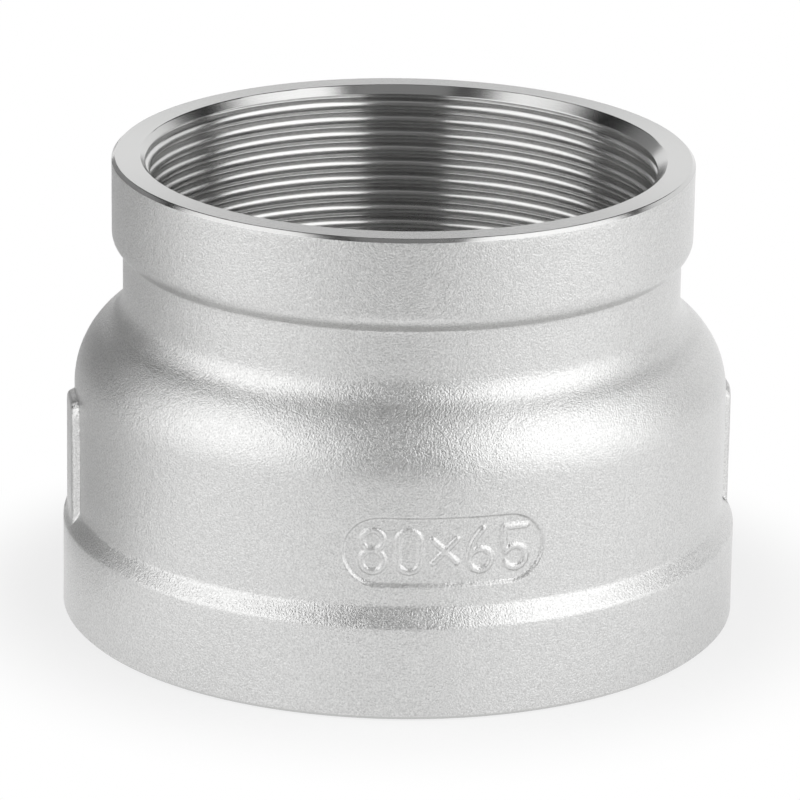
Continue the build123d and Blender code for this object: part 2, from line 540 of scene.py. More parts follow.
@dataclass
class SizeMark:
    """A sunk field with round ends that holds raised numerals, on the side that faces -Y.

    Attributes:
        wall_run: How far the field's sloping wall reaches across the skin.
        stroke_run: The same for the sides of the strokes.
        half_window: Half the turn of the skin's window round the mark, in degrees.
        inset_turn: Turn between that window's edge and the mark's own points, in degrees.
        margin: Skin in the window above and below the field.
        point_spacing: Distance between the mark's points.
    """

    height: float = 24.1
    field_length: float = 28.1
    field_width: float = 10.0
    field_depth: float = 0.45
    relief: float = 0.3
    numeral_height: float = 6.8
    numeral_width: float = 3.9
    numeral_pitch: float = 5.0
    cross_size: float = 3.4
    stroke_width: float = 0.75
    wall_run: float = 0.34
    stroke_run: float = 0.26
    half_window: float = 18.0
    inset_turn: float = 0.35
    margin: float = 0.8
    point_spacing: float = 0.17

    def strokes(self) -> list[Line | Bow]:
        """Centre lines of the numerals 80 x 65, each drawn about its own place in the field."""
        line_height = self.numeral_height - self.stroke_width
        bowl = (self.numeral_width - self.stroke_width) / 2
        low = bowl - line_height / 2
        crown = line_height / 2 - bowl
        high = line_height / 2 - crown
        arm = self.cross_size / 2
        eight, zero, cross, six, five = (self.numeral_pitch * place for place in range(-2, 3))
        return [
            Bow((eight, low), bowl),
            Bow((eight, high), crown),
            Bow((zero, low), bowl, 180, 180),
            Bow((zero, -low), bowl, 0, 180),
            Line((zero - bowl, low), (zero - bowl, -low)),
            Line((zero + bowl, low), (zero + bowl, -low)),
            Line((cross - arm, -arm), (cross + arm, arm)),
            Line((cross - arm, arm), (cross + arm, -arm)),
            Bow((six, low), bowl),
            Bow((six + line_height - bowl, low), line_height, 180, -48),
            Line((five + bowl, line_height / 2), (five - bowl, line_height / 2)),
            Line((five - bowl, line_height / 2), (five - bowl, 0)),
            Bow((five, low), bowl, 150, -300),
        ]

    def sink(self, x: np.ndarray, z: np.ndarray) -> np.ndarray:
        """How far the skin lies below its plain round, at a place across and up the body.

        The field's depth rises over wall_run at its outline, a straight run with two half
        circles. The strokes stand relief above the floor, with sides rounded over stroke_run.

        Args:
            x: Place across the mark.
            z: Height on the body.

        Returns:
            The depth below the plain round.
        """
        up = z - self.height
        straight = (self.field_length - self.field_width) / 2
        inside = self.field_width / 2 - Line((-straight, 0), (straight, 0)).distance(x, up)
        depth = self.field_depth * smooth_step(inside, -self.wall_run / 4, self.wall_run * 3 / 4)
        away = np.min([stroke.distance(x, up) for stroke in self.strokes()], axis=0)
        edge = self.stroke_width / 2
        raised = 1 - smooth_step(away, edge - self.stroke_run / 2, edge + self.stroke_run / 2)
        return depth - self.relief * raised


# The casting


@dataclass
class WrenchRib:
    """A cast bar on the side of the body, with drafted sides and round upper corners.

    Attributes:
        half_window: Half the turn of the skin's window round the rib, in degrees.
        margin: Skin in the window above and below the rib.
        across_spacing: Distance between its points across the rib, and near its sides.
        up_spacing: The same up the rib, and near its top.
        face_inset: Distance of a drafted side's middle from the outline.
        top_inset: The same for the drafted top.
    """

    projection: float = 1.0
    root_depth: float = 1.6
    width: float = 9.6
    length: float = 20.8
    corner_radius: float = 2.6
    edge_radius: float = 1.0
    draft: float = 12.0
    foot_fillet: float = 0.35
    half_window: float = 7.2
    margin: float = 1.2
    across_spacing: tuple[float, float] = (0.6, 0.11)
    up_spacing: tuple[float, float] = (0.7, 0.12)
    face_inset: float = 0.25
    top_inset: float = 0.3

    def surface(self, across: np.ndarray, up: np.ndarray, body_radius: float) -> np.ndarray:
        """Distance of the bar's surface from the bore's axis, along the rib's own direction.

        The sides fall by one over the tangent of the draft for each millimetre outwards. The
        face is flat at body_radius + projection, and near its edge it falls on a round: by
        edge_radius times 1 - sqrt(1 - s^2), where s is the share of the way across the round.

        Args:
            across: Place across the rib, from its middle.
            up: Height above the rib's foot.
            body_radius: Radius of the body that it stands on.

        Returns:
            The distance, less than the body's radius where there is no rib.
        """
        corner = self.corner_radius
        aside = np.maximum(np.abs(across) - self.width / 2 + corner, 0)
        above = np.maximum(up - self.length + corner, 0)
        both = (aside > 0) & (above > 0)
        beyond = np.maximum(np.abs(across) - self.width / 2, up - self.length)
        outside = np.where(both, np.hypot(aside, above) - corner, beyond)
        slope = 1 / math.tan(math.radians(self.draft))
        side = body_radius - self.root_depth - outside * slope
        share = np.clip(1 + (outside + self.root_depth / slope) / self.edge_radius, 0, 1)
        face = body_radius + self.projection - self.edge_radius * (1 - np.sqrt(1 - share**2))
        return np.minimum(side, face)


@dataclass
class Casting:
    """The whole fitting: its sizes from the standing face upwards, and how finely it is meshed.

    Attributes:
        bevel_start: Height at which the band's straight side would meet the bevel.
        hollow_corner_turn: Turn of the hollow's roof, in degrees, that its inner corner takes up.
        edge_break: Rounding of the turned edges.
        edge_support: Distance of an extra row from each end face, which keeps its chamfer crisp.
        face_support: Distance of an extra ring from each edge of an end face.
        inset: Gap between a window's edge and its patch.
        columns: Points round the fitting.
        row_length: Longest step between rows of the skin.
        row_turn: Largest turn of the outline between rows, in degrees.
        first_crest: Distance of a thread crest from either end, on the +X side.
        rim_rings: Rings of points between the edges of the rim.
        foot_rings: The same on the standing face.
        ledge_rings: The same on the hollow's roof beside the small thread.
        ledge_margin: Distance of the first of those from the thread's grooves.
        ripple_depth: Depth of the soft waves in the cast skin.
        ripple_counts: How many waves of each kind there are round the body.
        ripple_climb: Largest slant of a wave, in radians of phase a millimetre up the body.
        ripple_sharpness: How steeply the waves rise from trough to top.
        ripple_foot: Heights over which the waves come in above the foot.
        ripple_top: Distances below the rim over which they go out.
        ripple_seed: Number that fixes the waves' slants and places.
    """

    large_thread_diameter: float = 87.884
    large_thread_length: float = 29.8
    small_thread_length: float = 26.9
    thread_step: float = 12.7
    end_chamfer: float = 0.5
    band_wall: float = 4.95
    body_wall: float = 3.25
    hollow_wall: float = 3.0
    neck_wall: float = 2.6
    collar_wall: float = 4.2
    band_height: float = 12.4
    bevel_height: float = 3.6
    bevel_start: float = 13.6
    bevel_edge_radius: float = 1.2
    bevel_foot_radius: float = 1.4
    body_run: float = 3.7
    shoulder_radius: float = 12.0
    neck_hollow_radius: float = 5.0
    neck_length: float = 6.55
    collar_height: float = 12.1
    collar_root_radius: float = 0.8
    collar_edge_radius: float = 2.4
    hollow_corner_radius: float = 1.0
    hollow_corner_turn: float = 6.0
    edge_break: float = 0.07
    edge_support: float = 0.07
    face_support: float = 0.1
    inset: float = 0.25
    columns: int = 200
    row_length: float = 1.3
    row_turn: float = 8.0
    first_crest: float = 3.44
    rim_rings: int = 5
    foot_rings: int = 4
    ledge_rings: int = 4
    ledge_margin: float = 0.25
    ripple_depth: float = 0.05
    ripple_counts: tuple[int, ...] = (9, 14, 17, 23, 31, 38)
    ripple_climb: float = 0.7
    ripple_sharpness: float = 2.5
    ripple_foot: tuple[float, float] = (0.8, 4.0)
    ripple_top: tuple[float, float] = (3.0, 1.0)
    ripple_seed: int = 7
    mark: SizeMark = field(default_factory=SizeMark)
    rib: WrenchRib = field(default_factory=WrenchRib)

    def __post_init__(self) -> None:
        """Works out the radii and heights that follow from the sizes."""
        large_root = self.large_thread_diameter / 2
        small_root = large_root - self.thread_step / 2
        self.band_radius = large_root + self.band_wall
        self.body_radius = large_root + self.body_wall
        self.neck_radius = small_root + self.neck_wall
        self.collar_radius = small_root + self.collar_wall
        self.shoulder_base = self.large_thread_length + self.body_run
        self.shoulder_centre = self.body_radius - self.shoulder_radius
        self.hollow_centre = self.neck_radius + self.neck_hollow_radius
        reach = self.shoulder_radius + self.neck_hollow_radius
        turn = math.acos((self.hollow_centre - self.shoulder_centre) / reach)
        self.shoulder_turn = math.degrees(turn)
        self.neck_base = self.shoulder_base + reach * math.sin(turn)
        self.neck_top = self.neck_base + self.neck_length
        self.collar_base = self.neck_top + self.collar_radius - self.neck_radius
        self.total_height = self.collar_base + self.collar_height
        self.hollow_radius = self.body_radius - self.hollow_wall
        self.small_thread = PipeThread(
            root_diameter=2 * small_root,
            mouth=self.total_height,
            face=Face.UP,
            end=self.total_height - self.small_thread_length,
            crest_at=self.total_height - self.first_crest,
            crest_rows=6,
            root_rows=4,
        )
        self.large_thread = PipeThread(
            root_diameter=2 * large_root,
            mouth=0.0,
            face=Face.DOWN,
            end=self.large_thread_length,
            crest_at=self.first_crest,
            crest_rows=4,
            root_rows=3,
            opens_to=self.hollow_radius,
        )

    def outline(self) -> np.ndarray:
        """The outer half section from the standing face's edge to the rim's edge."""
        lower = rounded(
            [
                (self.band_radius - self.end_chamfer, 0),
                (self.band_radius, self.end_chamfer),
                (self.band_radius, self.bevel_start),
                (self.body_radius, self.band_height + self.bevel_height),
                (self.body_radius, self.shoulder_base),
            ],
            [self.edge_break, self.bevel_edge_radius, self.bevel_foot_radius],
        )
        shoulder = arc_points(
            (self.shoulder_centre, self.shoulder_base), self.shoulder_radius, 0, self.shoulder_turn
        )
        hollow = arc_points(
            (self.hollow_centre, self.neck_base),
            self.neck_hollow_radius,
            180 + self.shoulder_turn,
            -self.shoulder_turn,
        )
        upper = rounded(
            [
                (self.neck_radius, self.neck_base),
                (self.neck_radius, self.neck_top),
                (self.collar_radius, self.collar_base),
                (self.collar_radius, self.total_height - self.end_chamfer),
                (self.collar_radius - self.end_chamfer, self.total_height),
            ],
            [self.collar_root_radius, self.collar_edge_radius, self.edge_break],
        )
        return np.concatenate([lower[:-1], shoulder, hollow[1:], upper[1:]])

    def build(self) -> Surface:
        """The whole surface: skin, rim, threads, hollow and standing face.

        Returns:
            The surface, with its faces pointing outwards.
        """
        surface = Surface()
        angle = math.radians(45) + FULL_TURN * np.arange(self.columns + 1) / self.columns
        rim, rim_mouth = self.collar_radius - self.end_chamfer, self.small_thread.mouth_radius
        foot, foot_mouth = self.band_radius - self.end_chamfer, self.large_thread.mouth_radius
        self.add_skin(surface, angle)
        self.add_end_face(surface, angle, rim, rim_mouth, self.total_height, self.rim_rings)
        self.add_bores(surface, angle)
        self.add_end_face(surface, angle, foot_mouth, foot, 0.0, self.foot_rings)
        return surface

    def levels(self, wanted: list[float]) -> np.ndarray:
        """Heights of the skin's rows, evenly spread by length and by turn of the outline.

        Each step of the outline counts its length over row_length plus its turn over row_turn.
        Rows lie where the running total passes whole numbers, and at the wanted heights.

        Args:
            wanted: Heights that need a row, such as the edges of a window.

        Returns:
            The heights in rising order.
        """
        line = self.outline()
        step = np.diff(line, axis=0)
        length = np.hypot(step[:, 0], step[:, 1])
        heading = np.unwrap(np.arctan2(step[:, 1], step[:, 0]))
        turn = np.abs(np.diff(heading, prepend=heading[0]))
        share = length / self.row_length + np.degrees(turn) / self.row_turn
        total = np.concatenate([[0], np.cumsum(share)])
        even = np.interp(np.linspace(0, total[-1], round(total[-1]) + 1), total, line[:, 1])
        even[0], even[-1] = line[0, 1], line[-1, 1]
        clear = np.min(np.abs(even[:, None] - np.array(wanted)[None, :]), axis=1) > self.row_length / 3
        clear[[0, -1]] = True
        return np.sort(np.concatenate([even[clear], wanted]))

    def plain_radius(self, height: np.ndarray) -> np.ndarray:
        """Radius of the plain round skin at a height, read off the outline."""
        line = self.outline()
        return np.interp(height, line[:, 1], line[:, 0])

    def ripple(self, angle: np.ndarray, height: np.ndarray) -> np.ndarray:
        """How far the cast skin sinks below its true round: soft waves, 6 to 30 mm long.

        It is a sum of sines of fixed directions and phases along the arc and up the body, held
        to whole waves round the body, faded out at both ends where the skin was turned.
        """
        draws = np.random.default_rng(self.ripple_seed)
        total = np.zeros(np.broadcast_shapes(angle.shape, height.shape))
        for around in self.ripple_counts:
            for _ in range(2):
                climb = draws.uniform(-self.ripple_climb, self.ripple_climb)
                phase = draws.uniform(0, FULL_TURN)
                total = total + np.sin(around * angle + climb * height + phase) / around
        waves = 0.5 + 0.5 * np.tanh(self.ripple_sharpness * total)
        fade_out = smooth_step(height, *(self.total_height - reach for reach in self.ripple_top))
        return self.ripple_depth * waves * smooth_step(height, *self.ripple_foot) * (1 - fade_out)

    def add_skin(self, surface: Surface, angle: np.ndarray) -> None:
        """Adds the outer skin, with finer windows let in for the ribs and the size mark."""
        mark_reach = self.mark.field_width / 2 + self.mark.margin
        mark_low, mark_high = self.mark.height - mark_reach, self.mark.height + mark_reach
        rib_low = self.band_height - self.rib.margin
        rib_high = self.band_height + self.rib.length + self.rib.margin
        edges = [self.edge_support, self.total_height - self.edge_support]
        levels = np.sort(np.append(self.levels([mark_low, mark_high, rib_low, rib_high]), edges))
        skin = self.plain_radius(levels)[None, :] - self.ripple(angle[:, None], levels[None, :])
        grid = polar_grid(angle[:, None], skin, levels[None, :])
        hole = np.zeros((len(angle) - 1, len(levels) - 1), bool)
        windows = [
            (270, self.mark.half_window, mark_low, mark_high, self.mark_patch),
            (180, self.rib.half_window, rib_low, rib_high, self.rib_patch),
            (360, self.rib.half_window, rib_low, rib_high, self.rib_patch),
        ]
        spans = []
        for degrees, half, low, high, patch in windows:
            first, last = (nearest(angle, math.radians(degrees + way * half)) for way in (-1, 1))
            bottom, top = nearest(levels, low), nearest(levels, high)
            hole[first:last, bottom:top] = True
            spans.append((math.radians(degrees), slice(first, last + 1), slice(bottom, top + 1), patch))
        between = (levels[:-1] + levels[1:]) / 2
        chamfered = (between < self.end_chamfer) | (between > self.total_height - self.end_chamfer)
        finish = np.where(chamfered, Finish.TURNED.value, Finish.CAST.value)
        numbers = surface.add_grid(grid, np.broadcast_to(finish, hole.shape), hole)
        for middle, columns, rows, patch in spans:
            window = SkinGrid(numbers[columns, rows], angle[columns], levels[rows])
            fine_angle, fine_level, radius = patch(middle, window)
            fine = polar_grid(fine_angle[:, None], radius, fine_level[None, :])
            inner = SkinGrid(surface.add_grid(fine, Finish.CAST), fine_angle, fine_level)
            sides = list(zip(window.sides(), inner.sides()))
            for near, far in sides[:2] + [side[::-1] for side in sides[2:]]:
                surface.add_strip(near, far, Finish.CAST)

    def mark_patch(self, middle: float, window: SkinGrid) -> Patch:
        """The skin round the size mark: the plain round less the mark's depth.

        Args:
            middle: Angle of the mark's middle.
            window: The part of the skin that the patch is let into.

        Returns:
            The patch.
        """
        spacing, inset = self.mark.point_spacing, math.radians(self.mark.inset_turn)
        first, last = window.angle[0] + inset, window.angle[-1] - inset
        low, high = window.level[0] + self.inset, window.level[-1] - self.inset
        angle = np.linspace(first, last, round((last - first) * self.body_radius / spacing))
        level = np.linspace(low, high, round((high - low) / spacing))
        depth = self.mark.sink(self.body_radius * np.sin(angle - middle)[:, None], level[None, :])
        plain = self.plain_radius(level)[None, :] - self.ripple(angle[:, None], level[None, :])
        return angle, level, plain - depth

    def rib_patch(self, middle: float, window: SkinGrid) -> Patch:
        """The skin round a wrench rib: the plain round or the bar, whichever stands further out.

        Args:
            middle: Angle of the rib's middle.
            window: The part of the skin that the patch is let into.

        Returns:
            The patch.
        """
        rib, half, top = self.rib, self.rib.width / 2, self.band_height + self.rib.length
        inset = self.inset / self.body_radius
        first, last = window.angle[0] - middle + inset, window.angle[-1] - middle - inset
        ends = (first * self.body_radius, last * self.body_radius)
        across = graded(ends, rib.across_spacing, [rib.face_inset - half, half - rib.face_inset])
        ends = (window.level[0] + self.inset, window.level[-1] - self.inset)
        level = graded(ends, rib.up_spacing, [top - rib.top_inset])
        angle = middle + across / self.body_radius
        bar = rib.surface(across[:, None], (level - self.band_height)[None, :], self.body_radius)
        bar = bar / np.cos(angle - middle)[:, None]
        skin = smooth_high(self.plain_radius(level)[None, :], bar, rib.foot_fillet)
        return angle, level, skin - self.ripple(angle[:, None], level[None, :])

    def add_end_face(
        self, surface: Surface, angle: np.ndarray, start: float, end: float, height: float, rings: int
    ) -> None:
        """Adds a turned end face: a flat ring, with extra rings of points close to both edges.

        Args:
            surface: The surface.
            angle: Angle of each column.
            start: Radius of the outer edge where the face points up, else of the inner one.
            end: Radius of the other edge.
            height: Height of the face.
            rings: Rings of points between the edges.
        """
        support = math.copysign(self.face_support, end - start)
        radii = np.concatenate([[start], np.linspace(start + support, end - support, rings), [end]])
        surface.add_grid(polar_grid(angle[:, None], radii[None, :], height), Finish.TURNED)

    def add_bores(self, surface: Surface, angle: np.ndarray) -> None:
        """Adds both threads and the cast hollow that joins them."""
        small, large = self.small_thread, self.large_thread
        small_grid = small.grid(angle, small.end, small.mouth)[:, ::-1]
        surface.add_grid(small_grid, small.finishes(angle, small_grid))
        roof = arc_points(
            (self.shoulder_centre, self.shoulder_base),
            self.shoulder_radius - self.hollow_wall,
            self.shoulder_turn - self.hollow_corner_turn,
            self.hollow_corner_turn - self.shoulder_turn,
        )
        start, end = small.root_radius + self.ledge_margin, roof[0, 0] - self.hollow_corner_radius
        ledge_radii = np.linspace(start, end, self.ledge_rings)
        ledge = np.stack([ledge_radii, np.full(self.ledge_rings, small.end)], 1)
        opening = large.end + large.opens_to - large.crest_radius
        line = np.concatenate([ledge, roof, [[large.opens_to, opening]]])
        hollow = polar_grid(angle[:, None], line[None, :, 0], line[None, :, 1])
        surface.add_grid(np.concatenate([small_grid[:, -1:], hollow], axis=1), Finish.CAST)
        large_grid = large.grid(angle, large.mouth, opening)[:, ::-1]
        surface.add_grid(large_grid, large.finishes(angle, large_grid))


# Finishes


class Nodes:
    """A short way to build a node tree: each call adds a node and sets or links its inputs."""

    def __init__(self, owner: bpy.types.Material | bpy.types.World) -> None:
        """Empties the owner's tree and keeps it."""
        owner.use_nodes = True
        self.tree = owner.node_tree
        self.tree.nodes.clear()

    def add(self, kind: str, settings: dict | None = None, **inputs: object) -> bpy.types.Node:
        """Adds a node of a kind, with its own settings and its inputs.

        Args:
            kind: The node's type name without its ShaderNode prefix.
            settings: Attributes of the node itself.
            inputs: A value or an output socket for each input, spaces written as underscores. An
                input without a name of its own is i and its number.

        Returns:
            The node.
        """
        node = self.tree.nodes.new("ShaderNode" + kind)
        for name, value in (settings or {}).items():
            setattr(node, name, value)
        for name, value in inputs.items():
            numbered = name[0] == "i" and name[1:].isdigit()
            socket = node.inputs[int(name[1:]) if numbered else name.replace("_", " ")]
            if isinstance(value, bpy.types.NodeSocket):
                self.tree.links.new(value, socket)
            else:
                socket.default_value = value
        return node

    def math(self, operation: str, first: object, second: object) -> bpy.types.NodeSocket:
        """The result of a math node on two values or sockets."""
        return self.add("Math", {"operation": operation}, i0=first, i1=second).outputs[0]

    def noise(
        self, place: bpy.types.NodeSocket, size: float, detail: float = 2.0, roughness: float = 0.5
    ) -> bpy.types.NodeSocket:
        """A noise of a place in space.

        Args:
            place: The place.
            size: Size of its largest forms in millimetres.
            detail: How many finer noises are added to it.
            roughness: Share of each finer noise in the one before.

        Returns:
            Its value, from 0 to 1.
        """
        inputs = {"Scale": 1 / (size * MM), "Detail": detail, "Roughness": roughness}
        return self.add("TexNoise", Vector=place, **inputs).outputs["Fac"]

    def ramp(
        self,
        value: bpy.types.NodeSocket,
        start: tuple[float, float],
        end: tuple[float, float],
        smooth: bool = False,
    ) -> bpy.types.NodeSocket:
        """A value carried over from one range to another and held at its ends.

        Args:
            value: The value.
            start: The two ends of its own range.
            end: What they become.
            smooth: Whether it leaves and reaches them softly.

        Returns:
            The new value.
        """
        settings = {"interpolation_type": "SMOOTHSTEP" if smooth else "LINEAR"}
        inputs = {"From_Min": start[0], "From_Max": start[1], "To_Min": end[0], "To_Max": end[1]}
        return self.add("MapRange", settings, Value=value, **inputs).outputs[0]


@dataclass(frozen=True)
class Metal:
    """A bare metal with a finish. Each kind of finish adds its own detail."""

    name: str
    colour: tuple[float, float, float, float]
    roughness: float

    def detail(self, nodes: Nodes, place: bpy.types.NodeSocket) -> dict[str, object]:
        """What the finish sets on the metal shader beyond its colour and roughness.

        Args:
            nodes: The material's nodes.
            place: The object's own coordinates.

        Returns:
            A value or socket for each input, as Nodes.add takes them.
        """
        raise NotImplementedError

    def make(self) -> bpy.types.Material:
        """Makes the material."""
        material = bpy.data.materials.new(self.name)
        nodes = Nodes(material)
        inputs = {"Metallic": 1.0, "Base_Color": self.colour, "Roughness": self.roughness}
        inputs.update(self.detail(nodes, nodes.add("TexCoord").outputs["Object"]))
        shader = nodes.add("BsdfPrincipled", **inputs)
        nodes.add("OutputMaterial", Surface=shader.outputs[0])
        return material


@dataclass(frozen=True)
class BlastedCasting(Metal):
    """The cast skin after blasting: pale grey, evenly grained, with a few soft wrinkles.

    Attributes:
        grain_size: Size of the grain, in millimetres like the other sizes.
        grain_depth: Height of the grain.
        grain_shade_and_highlight: How much darker its pits are, as painted shade, and how much lighter its
            peaks, as painted highlight.
        grain_span: The noise's values at those pits and peaks.
        peel_size: Size of the wrinkles.
        peel_depth: Height of the wrinkles.
    """

    name: str = "blasted_casting"
    colour: tuple[float, float, float, float] = (0.68, 0.68, 0.675, 1.0)
    roughness: float = 0.28
    grain_size: float = 0.26
    grain_depth: float = 0.1
    grain_shade_and_highlight: float = 0.17
    grain_span: tuple[float, float] = (0.3, 0.7)
    peel_size: float = 1.2
    peel_depth: float = 0.05

    def detail(self, nodes: Nodes, place: bpy.types.NodeSocket) -> dict[str, object]:
        """Grain and wrinkles are two noises of the object's own coordinates, added as one height. The grain
        also paints shade into the colour in its pits and a highlight on its peaks.
        """
        grain = nodes.noise(place, self.grain_size, roughness=0.6)
        peel = nodes.noise(place, self.peel_size, detail=1.0)
        fine = nodes.math("MULTIPLY", grain, self.grain_depth * MM)
        coarse = nodes.math("MULTIPLY", peel, self.peel_depth * MM)
        height = nodes.math("ADD", fine, coarse)
        bump = nodes.add("Bump", Strength=1.0, Distance=1.0, Height=height)
        # Painted shade in the grain's pits and painted highlight on its peaks, in the colour
        pit_shade_peak_highlight = nodes.ramp(grain, self.grain_span, (1 - self.grain_shade_and_highlight, 1 + self.grain_shade_and_highlight))
        shaded_colour = nodes.add("VectorMath", {"operation": "SCALE"}, i0=self.colour[:3], Scale=pit_shade_peak_highlight)
        return {"Base_Color": shaded_colour.outputs[0], "Normal": bump.outputs["Normal"]}


@dataclass(frozen=True)
class MachinedMetal(Metal):
    """Metal cut in rounds about the bore, which stretch its highlights across themselves.

    Attributes:
        stretch: How far the highlights are stretched, from 0 to 1.
        across: Turn of the stretch away from the cut, as a share of a whole turn.
    """

    stretch: float = 0.85
    across: float = 0.25

    def stretched(self, nodes: Nodes) -> dict[str, object]:
        """The shader's inputs that stretch its highlights."""
        around = nodes.add("Tangent", {"direction_type": "RADIAL", "axis": "Z"}).outputs[0]
        return {"Anisotropic": self.stretch, "Anisotropic_Rotation": self.across, "Tangent": around}


@dataclass(frozen=True)
class TurnedFace(MachinedMetal):
    """A face cut on the lathe, with fine rings about the bore."""

    name: str = "turned_face"
    colour: tuple[float, float, float, float] = (0.6, 0.6, 0.595, 1.0)
    roughness: float = 0.2
    line_spacing: float = 0.12
    line_depth: float = 0.004

    def detail(self, nodes: Nodes, place: bpy.types.NodeSocket) -> dict[str, object]:
        """The rings are a noise of the distance from the bore's axis alone."""
        flat = nodes.add("VectorMath", {"operation": "MULTIPLY"}, i0=place, i1=(1, 1, 0))
        radius = nodes.add("VectorMath", {"operation": "LENGTH"}, i0=flat.outputs[0])
        rings = nodes.add(
            "TexNoise",
            {"noise_dimensions": "1D"},
            W=radius.outputs["Value"],
            Scale=1 / (self.line_spacing * MM),
            Detail=2.0,
        )
        bump = nodes.add("Bump", Strength=1.0, Distance=self.line_depth * MM, Height=rings.outputs["Fac"])
        return {"Normal": bump.outputs["Normal"]} | self.stretched(nodes)


@dataclass(frozen=True)
class CutThread(MachinedMetal):
    """Bright thread flanks, slightly patchy.

    Attributes:
        patch_size: Size of the duller and brighter patches, in millimetres.
        patch_change: How far their roughness lies from the middle one.
    """

    name: str = "cut_thread"
    colour: tuple[float, float, float, float] = (0.68, 0.68, 0.675, 1.0)
    roughness: float = 0.25
    patch_size: float = 2.5
    patch_change: float = 0.03

    def detail(self, nodes: Nodes, place: bpy.types.NodeSocket) -> dict[str, object]:
        """The patches are a noise of the object's own coordinates, which changes the roughness."""
        patches = nodes.noise(place, self.patch_size)
        span = (self.roughness - self.patch_change, self.roughness + self.patch_change)
        return {"Roughness": nodes.ramp(patches, (0.0, 1.0), span)} | self.stretched(nodes)


# The studio


@dataclass(frozen=True)
class SidePanel:
    """A tall soft lamp that stands on the floor beside the fitting and faces across it.

    Attributes:
        name: The lamp's name.
        across: Its place across the view.
        near: Place of its nearer edge along the view.
        far: Place of its further edge along the view.
        top: Its height.
        brightness: What it shows in a mirror, where 1 is white.
    """

    name: str
    across: float
    near: float
    far: float
    top: float
    brightness: float


